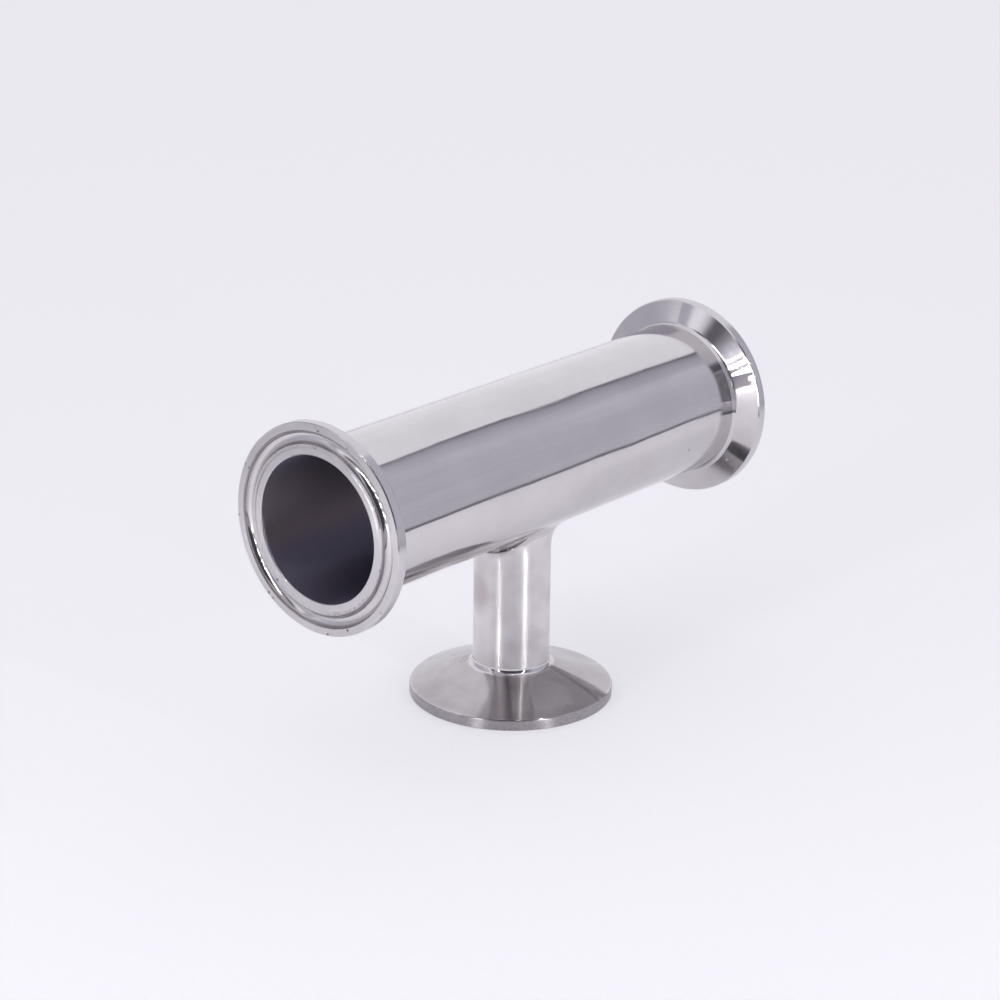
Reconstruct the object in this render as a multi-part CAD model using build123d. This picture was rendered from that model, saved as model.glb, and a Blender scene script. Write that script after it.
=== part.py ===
from build123d import *
import math
import os

# Sanitary reducing tee: a large run tube with a clamp ferrule at each end, and a thinner branch tube
# that leaves the middle of the run and ends in a ferrule with the same flange. Millimetres, +Z up.
# The run lies along X. The branch points down -Z and the tee stands on the branch ferrule's face, so
# the origin is the centre of that face and the run's axis is at Z = run_height.

# Overall places
run_length = 138.6          # face to face of the two run ferrules
run_height = 61.5           # branch ferrule face to the run's axis

# Tubes
run_od = 38.1
run_wall = 1.5
branch_od = 19.05
branch_wall = 1.5

# Flange that every ferrule shares, so that one size of clamp and gasket fits all three
flange_od = 50.5
rim_width = 2.7             # cylindrical rim between the sealing face and the flank
flank_angle = 20.0          # back of the flange, from the plane of the face, in degrees
rim_bevel = 0.25            # bevel of both edges of the rim
groove_pitch_dia = 43.5     # circle that the gasket groove is centred on
groove_radius = 1.6         # radius of the groove's round section
groove_depth = 1.5

# Ferrule necks
run_ferrule_length = 12.7   # face to the butt weld
branch_ferrule_length = 12.7
run_root_fillet = 1.4       # flank to neck
branch_root_fillet = 1.5
mouth_chamfer = 0.2         # broken edge of the bore where it meets the face

# Outlet pulled out of the run tube's wall, which the branch tube is welded to
outlet_radius = 6.0         # outside radius of the pulled lip
outlet_collar = 0.6         # straight collar below the lip, down to the weld

# Derived sizes
run_radius = run_od / 2
run_bore_radius = run_radius - run_wall
branch_radius = branch_od / 2
branch_bore_radius = branch_radius - branch_wall
flange_radius = flange_od / 2
half_run = run_length / 2
run_weld = half_run - run_ferrule_length
outlet_weld = run_height - run_radius - outlet_radius - outlet_collar
through = 1.0               # how far a cutting cylinder passes the piece it opens


def ferrule(tube_radius, bore_radius, length, root_fillet):
    """One ferrule as a revolved section: the sealing face lies in Z = 0 and the neck rises along +Z."""
    flank_rise = (flange_radius - tube_radius) * math.tan(math.radians(flank_angle))
    rim_back = (flange_radius, 0, rim_width)
    root = (tube_radius, 0, rim_width + flank_rise)
    rim_front = (flange_radius, 0, 0)
    section = Polyline(
        (bore_radius + mouth_chamfer, 0, 0),
        rim_front,
        rim_back,
        root,
        (tube_radius, 0, length),
        (bore_radius, 0, length),
        (bore_radius, 0, mouth_chamfer),
        close=True,
    )
    face = make_face(section).face()
    face = round_corner(face, root, root_fillet)
    face = bevel_corner(face, rim_back)
    face = bevel_corner(face, rim_front)
    return revolve(cut_groove(face), axis=Axis.Z, revolution_arc=360)


def corner_at(face, point):
    """The corner of a flat section that lies nearest to the given point."""
    return min(face.vertices(), key=lambda vertex: (vertex.center() - Vector(*point)).length)


def round_corner(face, point, radius):
    """Round the section's corner at the given point."""
    return face.fillet_2d(radius, [corner_at(face, point)])


def bevel_corner(face, point):
    """Bevel the rim's corner at the given point."""
    return face.chamfer_2d(rim_bevel, rim_bevel, [corner_at(face, point)])


def cut_groove(face):
    """Cut the half-round gasket groove into the section's sealing face."""
    centre = (groove_pitch_dia / 2, 0, groove_depth - groove_radius)
    section_plane = Plane(origin=centre, x_dir=(1, 0, 0), z_dir=(0, -1, 0))
    return face - section_plane * Circle(groove_radius)


def along_run(radius, reach):
    """A cylinder on the run's axis that reaches the same way to both sides of the middle."""
    return Pos(0, 0, run_height) * Rot(0, 90, 0) * Cylinder(radius, 2 * reach)


def below_run(radius, bottom):
    """A cylinder on the branch's axis, from the run's axis down to a height."""
    upright = (Align.CENTER, Align.CENTER, Align.MIN)
    return Pos(0, 0, bottom) * Cylinder(radius, run_height - bottom, align=upright)


def tee_form(run_part, branch_part, blend_radius):
    """A cylinder along the run and one along the branch, joined with a rounded saddle."""
    joined = run_part + branch_part
    saddle = new_edges(run_part, branch_part, combined=joined)
    return fillet(saddle, blend_radius)


def run_tube():
    """The run between its two welds, with the outlet pulled out of its wall."""
    outside = tee_form(
        along_run(run_radius, run_weld),
        below_run(branch_radius, outlet_weld),
        outlet_radius,
    )
    inside = tee_form(
        along_run(run_bore_radius, run_weld + through),
        below_run(branch_bore_radius, outlet_weld - through),
        outlet_radius + run_wall,
    )
    return outside - inside


def branch_tube():
    """The straight branch between the outlet and the neck of its ferrule."""
    wall = Circle(branch_radius) - Circle(branch_bore_radius)
    return extrude(Pos(0, 0, branch_ferrule_length) * wall, outlet_weld - branch_ferrule_length)


run_end = ferrule(run_radius, run_bore_radius, run_ferrule_length, run_root_fillet)
branch_end = ferrule(branch_radius, branch_bore_radius, branch_ferrule_length, branch_root_fillet)

pieces = {
    "run_tube": run_tube(),
    "branch_tube": branch_tube(),
    "front_ferrule": Pos(-half_run, 0, run_height) * Rot(0, 90, 0) * run_end,
    "rear_ferrule": Pos(half_run, 0, run_height) * Rot(0, -90, 0) * run_end,
    "branch_ferrule": branch_end,
}

os.makedirs("parts", exist_ok=True)
for name, piece in pieces.items():
    export_step(piece, f"parts/{name}.step")
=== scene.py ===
import math
import bpy
from mathutils import Matrix, Vector


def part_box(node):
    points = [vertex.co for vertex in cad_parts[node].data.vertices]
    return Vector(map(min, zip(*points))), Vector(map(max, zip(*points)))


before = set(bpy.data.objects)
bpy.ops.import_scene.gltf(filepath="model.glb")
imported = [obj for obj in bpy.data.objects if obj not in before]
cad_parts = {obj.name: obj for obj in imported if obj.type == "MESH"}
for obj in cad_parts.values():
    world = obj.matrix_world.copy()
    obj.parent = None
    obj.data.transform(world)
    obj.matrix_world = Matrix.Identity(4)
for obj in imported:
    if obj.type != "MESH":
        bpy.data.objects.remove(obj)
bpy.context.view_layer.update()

# Camera, fitted to the flange outlines and tube edges of the photograph
PHOTO_SIZE = 1000                   # the photograph's width and height in pixels
SENSOR = 36.0                       # sensor width in millimetres
CAMERA_AZIMUTH = math.radians(-49.85)
CAMERA_ELEVATION = math.radians(19.7)
CAMERA_ROLL = math.radians(0.68)
CAMERA_DISTANCE = 0.7355
CAMERA_FOCAL_PX = 3026.0
NEAREST, FARTHEST = 0.01, 50        # distances between which the camera sees
AIM_HEIGHT = 0.060                  # the point on the branch's axis that lies at AIM_PIXEL
AIM_PIXEL = (513.6, 462.8)

# Sizes of the tee that the frame gives
FACE_LOW, FACE_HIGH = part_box("front_ferrule")
HALF_RUN = -FACE_LOW.x
RUN_HEIGHT = (FACE_LOW.z + FACE_HIGH.z) / 2
FLANGE_RADIUS = (FACE_HIGH.z - FACE_LOW.z) / 2
RUN_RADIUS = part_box("run_tube")[1].y
BRANCH_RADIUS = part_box("branch_tube")[1].x

# Sizes of the tee that the frame's boxes don't give
WALL = 0.0015
RIM_WIDTH = 0.0027
INNER_LAND = 0.0202                 # radii of the gasket groove's two edges, rounded
OUTER_LAND = 0.0233

# The branch's satin finish starts at the height SATIN_FOOT. It ends on the run tube's outlet, where
# the distance from the branch's axis plus SATIN_LEAN times the height reaches SATIN_TOP
SATIN_FOOT = 0.0094
SATIN_TOP = 0.0202
SATIN_LEAN = 0.25

# The light tent stands square to the camera: side walls left and right, and an open front
TENT_FORWARD = Vector((math.sin(-CAMERA_AZIMUTH), math.cos(CAMERA_AZIMUTH), 0))
TENT_RIGHT = Vector((math.cos(CAMERA_AZIMUTH), math.sin(CAMERA_AZIMUTH), 0))
TENT_HALF_WIDTH = 0.290
TENT_LEVEL = 1.21
BRIGHT_TINT = (1.0, 0.985, 1.045)
DARK_TINT = (1.0, 0.975, 1.14)
TINT_RANGE = (0.35, 0.80)           # brightness between which the dark tint turns bright
CEILING_SLOPE = 1.4                 # height of the ceiling's edge over the distance to the wall
CEILING_BLUR = 0.08
CEILING_LEVEL = 0.80

# Brightness round the tent by bearing from the camera's forward direction, in degrees
TENT_WALLS = (
    (-180, 0.06), (-152, 0.07), (-145, 0.36), (-140, 0.60), (-136, 0.60), (-131, 0.30),
    (-127, 0.11), (-122, 0.11), (-119, 0.62), (-115, 0.90), (-111, 0.88), (-108, 0.46),
    (-104, 0.47), (-101, 0.76), (-97, 0.60), (-90, 0.48), (-75, 0.48), (-68, 0.44),
    (-52, 0.52), (-43, 0.80), (0, 0.83), (43.8, 0.80), (44.7, 0.10), (46.2, 0.12),
    (48.5, 0.32), (53, 0.40), (66, 0.55), (83, 0.50), (110, 0.48), (128, 0.22),
    (150, 0.10), (180, 0.06),
)

# Strips of lamp beads, upright in the tent's open front: name, place to the right, place forward
LAMPS = (
    ("lamp_left", -0.24, -0.33),
    ("lamp_right", 0.265, -0.325),
)
LAMP_WIDTH = 0.010
LAMP_HEIGHT = 0.43
LAMP_PITCH = 0.036                  # from one bead to the next
LAMP_STRENGTH = 170.0
LAMP_GLOW = 0.003                   # light between two beads, as a share of a bead's
LAMP_TINT = (1.0, 0.985, 1.0)
BEAD_EDGE = (0.5, 0.95)             # the wave's heights where a bead starts and where it is full

FLOOR_SIZE = 8.0
FLOOR_ALBEDO = (0.44, 0.434, 0.451)
FLOOR_GLOW = 0.575                  # added where the camera sees the floor
MIRRORED_ALBEDO = (0.95, 0.94, 0.96)
MIRRORED_GLOW = 0.13                # added where steel mirrors the floor
FLOOR_EDGE_SIDE = (-0.07, -1.0, 0)  # across the floor's right edge, which runs beside the tube
FLOOR_EDGE_PLACE = 0.196
WALL_START = (-0.010, 0.006)        # distances past the floor's edge where the wall takes over
WALL_CLEARING = (0.012, 0.09)       # distances past it where the wall turns from dark to light
WALL_DARK = (0.14, 0.135, 0.165)
WALL_LIGHT = (0.62, 0.605, 0.67)
BACKDROP = (0.872, 0.862, 0.905)

# Colours of the steel
POLISHED = (0.625, 0.605, 0.615)
SATIN = (0.78, 0.755, 0.76)
SATIN_PATCH = (0.60, 0.57, 0.57)
SATIN_SMEAR = (0.50, 0.455, 0.44)
# darker flank of the base: partly a duller finish, partly painted shade for the dark underside of
# the run tube that it mirrors
DULL_AND_SHADED = (0.46, 0.44, 0.445)
BORE_VIOLET = (0.385, 0.365, 0.475)
# painted sheen: the browner band in the bore
BORE_SHEEN = (0.50, 0.445, 0.48)
RUN_RIM = (0.60, 0.59, 0.62)
BASE_RIM_DARK = (0.37, 0.35, 0.365)
BASE_RIM_LIGHT = (0.47, 0.45, 0.465)
# painted shade along the gasket groove's two edges
GROOVE_EDGE_SHADE = (0.27, 0.245, 0.25)
FROST = (0.34, 0.32, 0.335)
PIT = (0.07, 0.065, 0.075)
BLOTCH = (0.43, 0.395, 0.385)
NICK = (0.09, 0.085, 0.09)
SCUFF = (0.17, 0.155, 0.165)

# Roughness, as one value or as the two ends of its range
POLISHED_ROUGHNESS = (0.070, 0.100)
HAZE_ROUGHNESS = 0.10
SATIN_ROUGHNESS = (0.31, 0.35)
TURNED_ROUGHNESS = (0.10, 0.13)
RUN_RIM_ROUGHNESS = 0.22
LAND_ROUGHNESS = 0.30
RUN_BORE_ROUGHNESS = 0.36
BRANCH_BORE_ROUGHNESS = 0.40
ROOT_ROUGHNESS = 0.06
FLANK_ROUGHNESS = (0.09, 0.13)
BASE_RIM_ROUGHNESS = 0.32

# Depths of the relief: hollows are negative
MICRON = 0.000001
WAVE_DEPTH = 280 * MICRON
RIPPLE_DEPTH = 22 * MICRON
BRUSHED_DEPTH = 0.9 * MICRON
BORE_LINE_DEPTH = 1.0 * MICRON
GRAIN_DEPTH = 4 * MICRON
TURNED_CLOUD_DEPTH = 12 * MICRON
TURNED_RING_DEPTH = 0.5 * MICRON
BASE_CLOUD_DEPTH = 45 * MICRON
BASE_RING_DEPTH = 0.6 * MICRON
NICK_DEPTH = -40 * MICRON
PIT_DEPTH = -50 * MICRON
SCUFF_DEPTH = -30 * MICRON

# Spacing of the fine lines and rings
RUN_LINES = 0.0005
BRANCH_LINES = 0.0006
RUN_RINGS = 0.0005
BASE_RINGS = 0.0007
LINE_DRIFT = (60, 60, 60)           # how fast a line changes on its way round

# Single blemishes and their places
SMEAR_PLACE = (-0.0085, 0.0032, 0.0285)
BLOTCH_PLACE = (0.028, -0.0168, 0.0525)
NICK_PLACE = (0.0470, -0.0181, 0.0556)
SCUFF_PLACE = (-0.0062, 0.0108, 0.0073)

# Bearings round the run's axis, in degrees up from +Y
MIRRORED_STREAK_BEARINGS = (126.0, 172.0)      # stronger lengthwise streaks in the polish's colour: a painted reflection of a streaked wall
TOP_BEARINGS = (60.0, 90.0)         # extra pits at the top of the front face
FROST_BEARINGS = (-142.0, -100.0)   # frosted spot low on the front face

NOISE_RANGE = (0.3, 0.7)            # values that a noise mostly keeps to
SPECK_CORE = 0.6                    # share of a speck's radius that is fully covered
BLEMISH_CORE = 0.3                  # the same of a single blemish
ANISOTROPY = 0.9
QUARTER_TURN = 0.25


class Graph:
    """Short names for the shader nodes that the materials are built from."""

    def __init__(self, tree):
        self.tree = tree
        self.tree.nodes.clear()

    def add(self, kind, inputs=None, **settings):
        node = self.tree.nodes.new(kind)
        for name, value in settings.items():
            setattr(node, name, value)
        for name, value in (inputs or {}).items():
            self.feed(node, name, value)
        return node

    def feed(self, node, name, value):
        """Link a socket to an input, or set the input to a value."""
        socket = node.inputs[name]
        if isinstance(value, bpy.types.NodeSocket):
            self.tree.links.new(value, socket)
        elif socket.type == "RGBA" and len(value) == 3:
            socket.default_value = (*value, 1)
        else:
            socket.default_value = value

    def math(self, operation, first, second=0.0):
        return self.add("ShaderNodeMath", {0: first, 1: second}, operation=operation).outputs[0]

    def product(self, *values):
        result = values[0]
        for value in values[1:]:
            result = self.math("MULTIPLY", result, value)
        return result

    def total(self, *values):
        result = values[0]
        for value in values[1:]:
            result = self.math("ADD", result, value)
        return result

    def vector(self, operation, first, second=(0, 0, 0)):
        node = self.add("ShaderNodeVectorMath", {0: first, 1: second}, operation=operation)
        return node.outputs["Value" if operation in ("DOT_PRODUCT", "LENGTH") else "Vector"]

    def split(self, vector):
        return self.add("ShaderNodeSeparateXYZ", {0: vector}).outputs

    def join(self, x=0.0, y=0.0, z=0.0):
        return self.add("ShaderNodeCombineXYZ", {0: x, 1: y, 2: z}).outputs[0]

    def fade(self, value, low, high, start=0.0, end=1.0):
        """Runs smoothly from start to end while value goes from low to high."""
        ranges = {
            "Value": value,
            "From Min": low,
            "From Max": high,
            "To Min": start,
            "To Max": end,
        }
        node = self.add("ShaderNodeMapRange", ranges, interpolation_type="SMOOTHSTEP")
        return node.outputs[0]

    def fall(self, value, low, high):
        """One up to low and zero from high on."""
        return self.fade(value, low, high, 1.0, 0.0)

    def vary(self, noise, start, end):
        """Runs from start to end over the range of a noise."""
        return self.fade(noise, *NOISE_RANGE, start, end)

    def band(self, value, low, high, blur):
        """One inside the band and zero outside it."""
        rise = self.fade(value, low - blur, low + blur)
        return self.product(rise, self.fall(value, high - blur, high + blur))

    def noise(self, place, scale, detail=2.0, roughness=0.5):
        inputs = {"Vector": place, "Scale": scale, "Detail": detail, "Roughness": roughness}
        return self.add("ShaderNodeTexNoise", inputs).outputs["Fac"]

    def stretched(self, place, scales, detail=2.0, roughness=0.5):
        """Noise with its own scale along each axis."""
        return self.noise(self.vector("MULTIPLY", place, scales), 1.0, detail, roughness)

    def specks(self, place, scale, size):
        """Scattered round specks: one in a speck and zero elsewhere."""
        cells = self.add("ShaderNodeTexVoronoi", {"Vector": place, "Scale": scale}, feature="F1")
        return self.fall(cells.outputs["Distance"], size * SPECK_CORE, size)

    def near(self, place, centre, stretch, radius):
        """One close to a point and zero beyond the radius, with each axis stretched."""
        offset = self.vector("MULTIPLY", self.vector("SUBTRACT", place, centre), stretch)
        return self.fall(self.vector("LENGTH", offset), radius * BLEMISH_CORE, radius)

    def ramp(self, factor, stops):
        """A colour ramp whose stops are (position, grey) pairs."""
        node = self.add("ShaderNodeValToRGB", {"Fac": factor})
        elements = node.color_ramp.elements
        while len(elements) < len(stops):
            elements.new(0.5)
        for element, (position, grey) in zip(elements, stops):
            element.position = position
            element.color = (grey, grey, grey, 1)
        return node.outputs["Color"]

    def mix(self, factor, first, second):
        """A colour or vector between first and second."""
        inputs = {"Factor": factor, 6: first, 7: second}
        return self.add("ShaderNodeMix", inputs, data_type="RGBA").outputs[2]

    def shade(self, colour, factor):
        """The colour times a number."""
        return self.vector("MULTIPLY", colour, self.join(factor, factor, factor))

    def blend(self, factor, first, second):
        """A number between first and second."""
        return self.add("ShaderNodeMix", {"Factor": factor, 2: first, 3: second}).outputs[0]

    def relief(self, *layers):
        """The bumped normal of (pattern, depth in metres) layers."""
        height = self.total(*(self.math("MULTIPLY", pattern, depth) for pattern, depth in layers))
        return self.add("ShaderNodeBump", {"Height": height, "Distance": 1.0}).outputs[0]


def material_graph(name):
    material = bpy.data.materials.new(name)
    material.use_nodes = True
    return material, Graph(material.node_tree)


def finish_surface(graph, colour, roughness, normal, tangent):
    """The metal shader. Its lines run along the tangent, so the quarter turn blurs across them."""
    inputs = {
        "Base Color": colour,
        "Metallic": 1.0,
        "Roughness": roughness,
        "Normal": normal,
        "Tangent": tangent,
        "Anisotropic": ANISOTROPY,
        "Anisotropic Rotation": QUARTER_TURN,
    }
    shader = graph.add("ShaderNodeBsdfPrincipled", inputs)
    graph.add("ShaderNodeOutputMaterial", {"Surface": shader.outputs[0]})


class Around:
    """Where a point lies about the run's axis or the branch's."""

    def __init__(self, graph, axis):
        self.place = graph.add("ShaderNodeTexCoord").outputs["Object"]
        x, y, z = graph.split(self.place)
        self.height = graph.math("SUBTRACT", z, RUN_HEIGHT)
        if axis == "run":
            self.along = x
            self.radial = graph.join(0.0, y, self.height)
            self.angle = graph.math("DEGREES", graph.math("ARCTAN2", self.height, y))
            axis_vector = (1, 0, 0)
        else:
            self.along = z
            self.radial = graph.join(x, y, 0.0)
            self.angle = graph.math("DEGREES", graph.math("ARCTAN2", x, y))
            axis_vector = (0, 0, 1)
        self.distance = graph.vector("LENGTH", self.radial)
        around = graph.vector("CROSS_PRODUCT", axis_vector, self.radial)
        self.tangent = graph.vector("NORMALIZE", around)


def lines_round(graph, about, spacing, detail=2.0):
    """Fine lines that run round the axis, with the given spacing along it."""
    drift = graph.vector("MULTIPLY", about.radial, LINE_DRIFT)
    lengthwise = graph.math("DIVIDE", about.along, spacing)
    place = graph.vector("ADD", drift, graph.join(lengthwise, lengthwise))
    return graph.noise(place, 1.0, detail)


def turned_rings(graph, about, spacing):
    """Fine rings on the face and flank of a ferrule, with the given spacing outward."""
    outward = graph.math("DIVIDE", about.distance, spacing)
    return graph.noise(graph.join(outward, about.along), 1.0, 2.0)


def bore_colour(graph, about, lines):
    """The dark bore: violet steel with a browner band at the height of the run's axis, which is a
    painted sheen, and darker further below the run's axis.
    """
    # painted sheen: a browner band at the height of the run's axis
    sheen_band = graph.fall(graph.math("ABSOLUTE", about.height), 0.004, 0.014)
    colour = graph.mix(sheen_band, BORE_VIOLET, BORE_SHEEN)
    colour = graph.shade(colour, graph.fade(about.height, -0.016, -0.006, 0.80, 1.0))
    return graph.shade(colour, graph.vary(lines, 0.98, 1.02))


def ferrule_bore_and_rim(graph, distance, bore):
    """Masks of a ferrule's bore, of the given radius, and of its rim."""
    inside = graph.fall(distance, bore + 0.00005, bore + 0.00015)
    rim = graph.fade(distance, FLANGE_RADIUS - 0.0002, FLANGE_RADIUS - 0.0001)
    return inside, rim


def satin_layers(graph, about):
    """Colour, roughness and relief of the branch's satin finish, brushed round the tube."""
    lines = lines_round(graph, about, BRANCH_LINES, 3.0)
    patch = graph.noise(about.place, 120.0, 2.0)
    smear = graph.near(about.place, SMEAR_PLACE, (1.0, 1.0, 0.75), 0.006)
    colour = graph.mix(graph.fade(patch, 0.4, 0.7, 0.0, 0.6), SATIN, SATIN_PATCH)
    colour = graph.mix(graph.product(smear, 0.7), colour, SATIN_SMEAR)
    colour = graph.shade(colour, graph.vary(lines, 0.985, 1.015))
    roughness = graph.vary(lines, *SATIN_ROUGHNESS)
    return colour, roughness, (lines, BRUSHED_DEPTH)


def polish_layers(graph, about):
    """Colour, roughness and relief of the mirror polish, with faint belt marks along the run, made
    stronger on the upper front, toward the camera, as a painted reflection of a streaked wall.
    """
    streaks = graph.stretched(about.place, (9, 260, 260), 2.0)
    cloud = graph.noise(about.place, 60.0, 3.0, 0.6)
    # painted reflection: the streaks grow stronger between these bearings, where a streaked wall is
    # mirrored
    depth = graph.blend(graph.band(about.angle, *MIRRORED_STREAK_BEARINGS, 4.0), 0.012, 0.045)
    mark = graph.math("ADD", 1.0, graph.product(graph.vary(streaks, -1.0, 1.0), depth))
    colour = graph.shade(graph.shade(POLISHED, mark), graph.vary(cloud, 1.03, 0.97))
    roughness = graph.vary(cloud, *POLISHED_ROUGHNESS)
    waves = graph.stretched(about.place, (30, 75, 75), 1.0)
    ripples = graph.stretched(about.place, (70, 280, 280), 2.0)
    return colour, roughness, cloud, ((waves, WAVE_DEPTH), (ripples, RIPPLE_DEPTH))


def polished_steel():
    """The run tube: mirror polished outside, satin at the outlet, dark inside."""
    material, graph = material_graph("polished_steel")
    about = Around(graph, "run")
    branch = Around(graph, "branch")
    place, height = about.place, about.height
    normal = graph.add("ShaderNodeTexCoord").outputs["Normal"]
    outward = graph.total(
        graph.vector("DOT_PRODUCT", normal, about.radial),
        graph.vector("DOT_PRODUCT", normal, branch.radial),
    )
    inside = graph.fall(outward, -0.002, 0.0)
    reach = graph.math("ADD", branch.distance, graph.math("MULTIPLY", branch.along, SATIN_LEAN))
    underside = graph.fall(height, -0.010, -0.008)
    satin = graph.product(graph.fall(reach, SATIN_TOP, SATIN_TOP + 0.0004), underside)
    satin_colour, satin_roughness, satin_relief = satin_layers(graph, branch)

    colour, roughness, cloud, polish_relief = polish_layers(graph, about)
    haze = graph.product(
        graph.fade(graph.math("ADD", about.along, graph.product(cloud, 0.04)), 0.0, 0.05),
        graph.fall(height, -0.004, 0.001),
    )
    blotch = graph.near(place, BLOTCH_PLACE, (0.8, 1.0, 1.0), 0.0075)
    blotch = graph.product(blotch, graph.fade(cloud, 0.42, 0.60))
    nick = graph.near(place, NICK_PLACE, (1.0, 1.0, 0.65), 0.00034)
    colour = graph.shade(colour, graph.fade(haze, 0.0, 1.0, 1.0, 0.88))
    colour = graph.mix(graph.product(blotch, 0.55), colour, BLOTCH)
    colour = graph.mix(nick, colour, NICK)
    colour = graph.mix(satin, colour, satin_colour)
    lines = lines_round(graph, about, RUN_LINES)
    colour = graph.mix(inside, colour, bore_colour(graph, about, lines))

    roughness = graph.blend(haze, roughness, HAZE_ROUGHNESS)
    roughness = graph.blend(satin, roughness, satin_roughness)
    roughness = graph.blend(inside, roughness, RUN_BORE_ROUGHNESS)
    surface = graph.relief(
        *polish_relief,
        (graph.product(lines, inside), BORE_LINE_DEPTH),
        (graph.product(satin_relief[0], satin), satin_relief[1]),
        (nick, NICK_DEPTH),
    )
    tangent = graph.mix(satin, about.tangent, branch.tangent)
    finish_surface(graph, colour, roughness, surface, tangent)
    return material


def satin_steel():
    """The branch tube: fine lines round the tube with warmer patches, and dark inside."""
    material, graph = material_graph("satin_steel")
    about = Around(graph, "branch")
    middle = BRANCH_RADIUS - WALL / 2
    inside = graph.fall(about.distance, middle - 0.0001, middle + 0.0001)
    colour, roughness, relief = satin_layers(graph, about)
    colour = graph.mix(inside, colour, bore_colour(graph, about, relief[0]))
    roughness = graph.blend(inside, roughness, BRANCH_BORE_ROUGHNESS)
    finish_surface(graph, colour, roughness, graph.relief(relief), about.tangent)
    return material


def face_wear_and_groove_shade(graph, about, land, cloud, grain):
    """Masks of a run ferrule's dark pits, of the painted shade along its groove's edges and of its
    frosted spot.
    """
    place, distance = about.place, about.distance
    front = graph.fade(about.along, -0.0001, 0.0001, 1.0, 0.0)
    pits = graph.product(graph.specks(place, 420.0, 0.17), graph.fade(cloud, 0.46, 0.56), land)
    top_pits = graph.product(
        graph.specks(place, 1100.0, 0.24),
        graph.fade(cloud, 0.40, 0.52),
        graph.band(about.angle, *TOP_BEARINGS, 5.0),
        graph.band(distance, INNER_LAND - 0.0014, INNER_LAND - 0.0002, 0.0003),
        land,
        front,
    )
    groove_edges = graph.math(
        "MAXIMUM",
        graph.band(distance, INNER_LAND, INNER_LAND + 0.0004, 0.0003),
        graph.band(distance, OUTER_LAND - 0.0005, OUTER_LAND - 0.0001, 0.0003),
    )
    from_middle = graph.math("ABSOLUTE", about.along)
    # painted shade: darker bands along the groove's two edges
    groove_shade = graph.product(
        groove_edges,
        graph.fade(from_middle, HALF_RUN - 0.0018, HALF_RUN - 0.0016),
        graph.fade(cloud, 0.35, 0.6, 0.35, 0.75),
    )
    frost = graph.product(
        graph.fade(grain, 0.36, 0.62),
        graph.band(about.angle, *FROST_BEARINGS, 8.0),
        land,
        graph.fall(distance, INNER_LAND, INNER_LAND + 0.0002),
        front,
    )
    return graph.math("MAXIMUM", pits, top_pits), groove_shade, frost


def run_ferrule_steel():
    """Both run ferrules: turned and polished, with pitted lands and a dark bore."""
    material, graph = material_graph("machined_steel")
    about = Around(graph, "run")
    distance = about.distance
    normal = graph.add("ShaderNodeTexCoord").outputs["Normal"]
    facing = graph.math("ABSOLUTE", graph.vector("DOT_PRODUCT", normal, (1, 0, 0)))
    inside, rim = ferrule_bore_and_rim(graph, distance, RUN_RADIUS - WALL)
    land = graph.fade(facing, 0.985, 0.995)
    neck = graph.fall(distance, RUN_RADIUS + 0.0001, RUN_RADIUS + 0.0006)
    rings = turned_rings(graph, about, RUN_RINGS)
    grain = graph.noise(about.place, 1500.0, 2.0, 0.65)
    polish_colour, polish_roughness, cloud, polish_relief = polish_layers(graph, about)
    pits, groove_shade, frost = face_wear_and_groove_shade(graph, about, land, cloud, grain)

    colour = graph.shade(POLISHED, graph.vary(cloud, 1.04, 0.94))
    colour = graph.shade(colour, graph.vary(rings, 0.985, 1.015))
    # painted shade along the gasket groove's edges
    colour = graph.mix(groove_shade, colour, GROOVE_EDGE_SHADE)
    colour = graph.mix(graph.product(frost, 0.8), colour, FROST)
    colour = graph.mix(graph.product(pits, 0.85), colour, PIT)
    colour = graph.mix(graph.product(rim, 0.5), colour, RUN_RIM)
    colour = graph.mix(neck, colour, polish_colour)
    lines = lines_round(graph, about, RUN_LINES)
    colour = graph.mix(inside, colour, bore_colour(graph, about, lines))

    roughness = graph.vary(cloud, *TURNED_ROUGHNESS)
    roughness = graph.blend(neck, roughness, polish_roughness)
    roughness = graph.blend(rim, roughness, RUN_RIM_ROUGHNESS)
    roughness = graph.blend(land, roughness, LAND_ROUGHNESS)
    roughness = graph.blend(inside, roughness, RUN_BORE_ROUGHNESS)
    surface = graph.relief(
        *((graph.product(pattern, neck), depth) for pattern, depth in polish_relief),
        (cloud, TURNED_CLOUD_DEPTH),
        (rings, TURNED_RING_DEPTH),
        (graph.product(grain, graph.math("MAXIMUM", frost, rim)), GRAIN_DEPTH),
        (pits, PIT_DEPTH),
        (graph.product(lines, inside), BORE_LINE_DEPTH),
    )
    finish_surface(graph, colour, roughness, surface, about.tangent)
    return material


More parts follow.
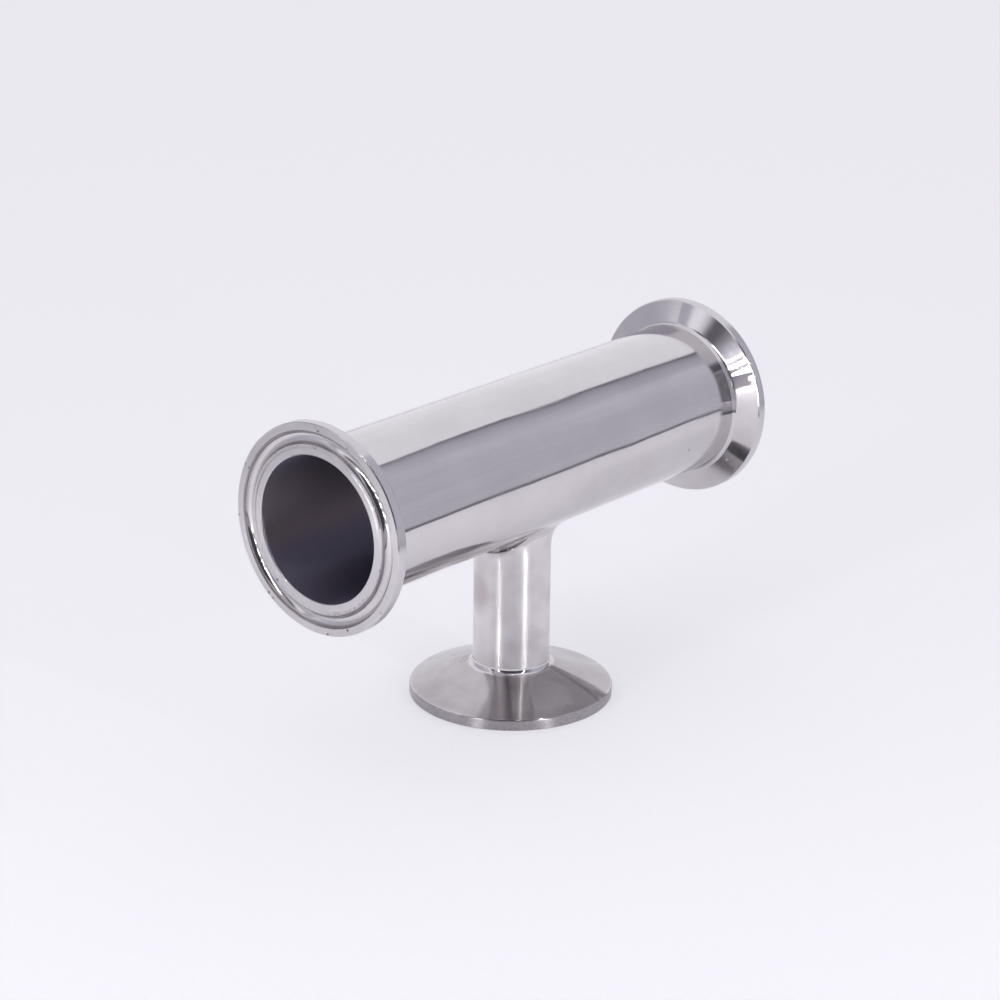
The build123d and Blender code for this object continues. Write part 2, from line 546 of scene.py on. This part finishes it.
def base_ferrule_steel():
    """The branch ferrule that the tee stands on: its flank darker, partly a duller finish and
    partly painted shade, scuffed, and satin above its root.
    """
    material, graph = material_graph("base_steel")
    about = Around(graph, "branch")
    place, distance = about.place, about.distance
    inside, rim = ferrule_bore_and_rim(graph, distance, BRANCH_RADIUS - WALL)
    flank = graph.product(
        graph.fade(distance, BRANCH_RADIUS + 0.0008, BRANCH_RADIUS + 0.0016),
        graph.fade(about.along, RIM_WIDTH, RIM_WIDTH + 0.0003),
    )
    satin = graph.product(
        graph.fade(about.along, SATIN_FOOT, SATIN_FOOT + 0.0004),
        graph.fall(distance, BRANCH_RADIUS, BRANCH_RADIUS + 0.0002),
    )
    satin_colour, satin_roughness, satin_relief = satin_layers(graph, about)
    rings = turned_rings(graph, about, BASE_RINGS)
    cloud = graph.noise(place, 80.0, 3.0, 0.6)
    grain = graph.stretched(place, (1500, 1500, 2600), 2.0, 0.6)

    scuff = graph.near(place, SCUFF_PLACE, (0.8, 0.8, 1.0), 0.0032)
    scuff = graph.product(scuff, graph.fade(grain, 0.48, 0.58))
    # the flank's darker colour is partly a duller finish, partly painted shade
    colour = graph.mix(flank, POLISHED, DULL_AND_SHADED)
    colour = graph.shade(colour, graph.vary(cloud, 1.10, 0.88))
    colour = graph.shade(colour, graph.vary(rings, 0.98, 1.02))
    colour = graph.mix(graph.product(scuff, 0.6), colour, SCUFF)
    rim_colour = graph.mix(graph.fade(grain, 0.35, 0.65), BASE_RIM_DARK, BASE_RIM_LIGHT)
    colour = graph.mix(rim, colour, rim_colour)
    colour = graph.mix(satin, colour, satin_colour)
    colour = graph.mix(inside, colour, bore_colour(graph, about, satin_relief[0]))

    roughness = graph.blend(flank, ROOT_ROUGHNESS, graph.vary(cloud, *FLANK_ROUGHNESS))
    roughness = graph.blend(rim, roughness, BASE_RIM_ROUGHNESS)
    roughness = graph.blend(satin, roughness, satin_roughness)
    roughness = graph.blend(inside, roughness, BRANCH_BORE_ROUGHNESS)
    surface = graph.relief(
        (cloud, BASE_CLOUD_DEPTH),
        (rings, BASE_RING_DEPTH),
        (graph.product(grain, rim), GRAIN_DEPTH),
        (graph.product(satin_relief[0], satin), satin_relief[1]),
        (scuff, SCUFF_DEPTH),
    )
    finish_surface(graph, colour, roughness, surface, about.tangent)
    return material


def dress(node, material):
    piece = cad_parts[node]
    piece.data.materials.clear()
    piece.data.materials.append(material)


def make_floor():
    """A wide pale floor. Steel mirrors it up to the tent's left wall and the floor's right edge."""
    bpy.ops.mesh.primitive_plane_add(size=FLOOR_SIZE, location=(0, 0, 0))
    floor = bpy.context.object
    floor.name = "floor"
    material, graph = material_graph("floor")
    path = graph.add("ShaderNodeLightPath").outputs
    place = graph.add("ShaderNodeTexCoord").outputs["Object"]
    leftward = graph.vector("DOT_PRODUCT", place, -TENT_RIGHT)
    edgeward = graph.vector("DOT_PRODUCT", place, FLOOR_EDGE_SIDE)
    past = graph.math(
        "MAXIMUM",
        graph.math("SUBTRACT", leftward, TENT_HALF_WIDTH),
        graph.math("SUBTRACT", edgeward, FLOOR_EDGE_PLACE),
    )
    wall = graph.fade(past, *WALL_START)
    wall_colour = graph.mix(graph.fade(past, *WALL_CLEARING), WALL_DARK, WALL_LIGHT)
    weave = graph.noise(place, 900.0, 2.0)
    cloth = graph.mix(path["Is Glossy Ray"], FLOOR_ALBEDO, MIRRORED_ALBEDO)
    cloth = graph.shade(cloth, graph.vary(weave, 0.985, 1.015))
    lit = graph.add("ShaderNodeBsdfDiffuse", {"Color": cloth})
    glow = graph.total(
        graph.product(path["Is Camera Ray"], FLOOR_GLOW),
        graph.product(path["Is Glossy Ray"], MIRRORED_GLOW),
    )
    extra = graph.add("ShaderNodeEmission", {"Color": BACKDROP, "Strength": glow})
    near = graph.add("ShaderNodeAddShader", {0: lit.outputs[0], 1: extra.outputs[0]})
    side = graph.add("ShaderNodeEmission", {"Color": wall_colour})
    beyond = graph.product(wall, path["Is Glossy Ray"])
    surface = graph.add(
        "ShaderNodeMixShader", {0: beyond, 1: near.outputs[0], 2: side.outputs[0]}
    )
    graph.add("ShaderNodeOutputMaterial", {"Surface": surface.outputs[0]})
    floor.data.materials.append(material)


def make_lamps():
    """Upright strips of lamp beads in the tent's open front."""
    material, graph = material_graph("lamp_beads")
    upward = graph.split(graph.add("ShaderNodeTexCoord").outputs["Object"])[1]
    wave = graph.math("SINE", graph.product(upward, math.tau * LAMP_HEIGHT / LAMP_PITCH))
    beads = graph.fade(wave, *BEAD_EDGE, LAMP_GLOW, 1.0)
    strength = graph.product(beads, LAMP_STRENGTH)
    glow = graph.add("ShaderNodeEmission", {"Color": LAMP_TINT, "Strength": strength})
    graph.add("ShaderNodeOutputMaterial", {"Surface": glow.outputs[0]})
    for name, rightward, forward in LAMPS:
        foot = rightward * TENT_RIGHT + forward * TENT_FORWARD
        centre = foot + Vector((0, 0, LAMP_HEIGHT / 2))
        upright = (math.pi / 2, 0, math.atan2(-foot.x, foot.y))
        bpy.ops.mesh.primitive_plane_add(size=1, location=centre, rotation=upright)
        strip = bpy.context.object
        strip.name = name
        strip.scale = (LAMP_WIDTH, LAMP_HEIGHT, 1)
        strip.visible_camera = False
        strip.data.materials.append(material)


def make_world():
    """The light tent by direction: its walls and ceiling, and a plain backdrop for the camera."""
    world = bpy.data.worlds.new("tent")
    bpy.context.scene.world = world
    world.use_nodes = True
    graph = Graph(world.node_tree)
    direction = graph.add("ShaderNodeTexCoord").outputs["Generated"]
    forward = graph.vector("DOT_PRODUCT", direction, TENT_FORWARD)
    right = graph.vector("DOT_PRODUCT", direction, TENT_RIGHT)
    rise = graph.split(direction)[2]
    bearing = graph.math("ARCTAN2", right, forward)
    turn = graph.math("ADD", graph.math("DIVIDE", bearing, math.tau), 0.5)
    stops = tuple((degrees / 360 + 0.5, grey) for degrees, grey in TENT_WALLS)
    walls = graph.ramp(turn, stops)
    reach = graph.math("MAXIMUM", graph.math("ABSOLUTE", forward), graph.math("ABSOLUTE", right))
    slope = graph.math("DIVIDE", rise, graph.math("MAXIMUM", reach, 0.001))
    ceiling = graph.fade(slope, CEILING_SLOPE, CEILING_SLOPE + CEILING_BLUR)
    colour = graph.mix(ceiling, walls, (CEILING_LEVEL, CEILING_LEVEL, CEILING_LEVEL))
    brightness = graph.split(colour)[0]
    tint = graph.mix(graph.fade(brightness, *TINT_RANGE), DARK_TINT, BRIGHT_TINT)
    colour = graph.vector("MULTIPLY", colour, tint)
    tent = graph.add("ShaderNodeBackground", {"Color": colour, "Strength": TENT_LEVEL})
    plain = graph.add("ShaderNodeBackground", {"Color": BACKDROP, "Strength": 1.0})
    camera_ray = graph.add("ShaderNodeLightPath").outputs["Is Camera Ray"]
    surface = graph.add(
        "ShaderNodeMixShader", {0: camera_ray, 1: tent.outputs[0], 2: plain.outputs[0]}
    )
    graph.add("ShaderNodeOutputWorld", {"Surface": surface.outputs[0]})


def make_camera():
    """The camera stands where the photograph was taken from."""
    azimuth, elevation = CAMERA_AZIMUTH, CAMERA_ELEVATION
    back = Vector((
        math.sin(azimuth) * math.cos(elevation),
        -math.cos(azimuth) * math.cos(elevation),
        math.sin(elevation),
    ))
    level_right = Vector((math.cos(azimuth), math.sin(azimuth), 0))
    level_up = back.cross(level_right)
    right = math.cos(CAMERA_ROLL) * level_right + math.sin(CAMERA_ROLL) * level_up
    up = -math.sin(CAMERA_ROLL) * level_right + math.cos(CAMERA_ROLL) * level_up
    middle = PHOTO_SIZE / 2
    aim_right = (AIM_PIXEL[0] - middle) / CAMERA_FOCAL_PX * CAMERA_DISTANCE
    aim_up = -(AIM_PIXEL[1] - middle) / CAMERA_FOCAL_PX * CAMERA_DISTANCE
    aim = Vector((0, 0, AIM_HEIGHT))
    place = aim + back * CAMERA_DISTANCE - right * aim_right - up * aim_up
    data = bpy.data.cameras.new("camera")
    data.sensor_width = SENSOR
    data.lens = CAMERA_FOCAL_PX * SENSOR / PHOTO_SIZE
    data.clip_start = NEAREST
    data.clip_end = FARTHEST
    camera = bpy.data.objects.new("camera", data)
    bpy.context.scene.collection.objects.link(camera)
    turn = Matrix((right, up, back)).transposed()
    camera.matrix_world = Matrix.Translation(place) @ turn.to_4x4()
    bpy.context.scene.camera = camera


run_ferrules = run_ferrule_steel()
dress("run_tube", polished_steel())
dress("branch_tube", satin_steel())
dress("front_ferrule", run_ferrules)
dress("rear_ferrule", run_ferrules)
dress("branch_ferrule", base_ferrule_steel())
make_floor()
make_lamps()
make_world()
make_camera()
bpy.context.scene.view_settings.view_transform = "Standard"
